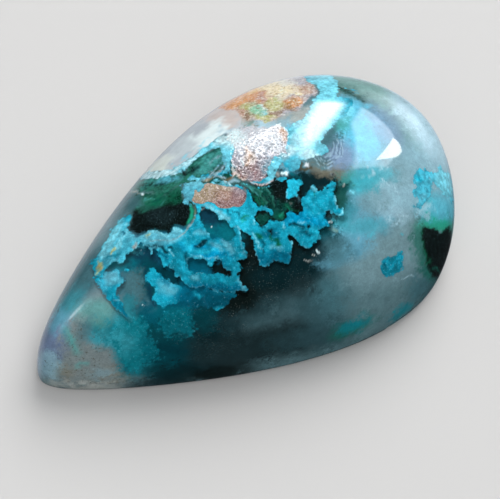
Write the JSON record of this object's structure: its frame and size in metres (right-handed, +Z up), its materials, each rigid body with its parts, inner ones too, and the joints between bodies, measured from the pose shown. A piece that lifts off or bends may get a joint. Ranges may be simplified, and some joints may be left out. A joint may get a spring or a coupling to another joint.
{
  "type": "chrysocolla cabochon specimen",
  "caption": "Polished pear-shaped domed stone with a flat back, blue-green chrysocolla and dark malachite in cloudy chalcedony.",
  "frame": {"origin": "middle of the flat back, at the middle of the stone's length and width", "axes": "+X along the length towards the round end, +Y across the width, +Z up through the dome"},
  "size_m": [0.03, 0.0182, 0.0095],
  "materials": {
    "polished_chrysocolla": "high polish, cloudy translucent chalcedony with turquoise, black-green and brown patches"
  },
  "bodies": {
    "root": {"cabochon": "polished_chrysocolla"}
  },
  "joints": []
}
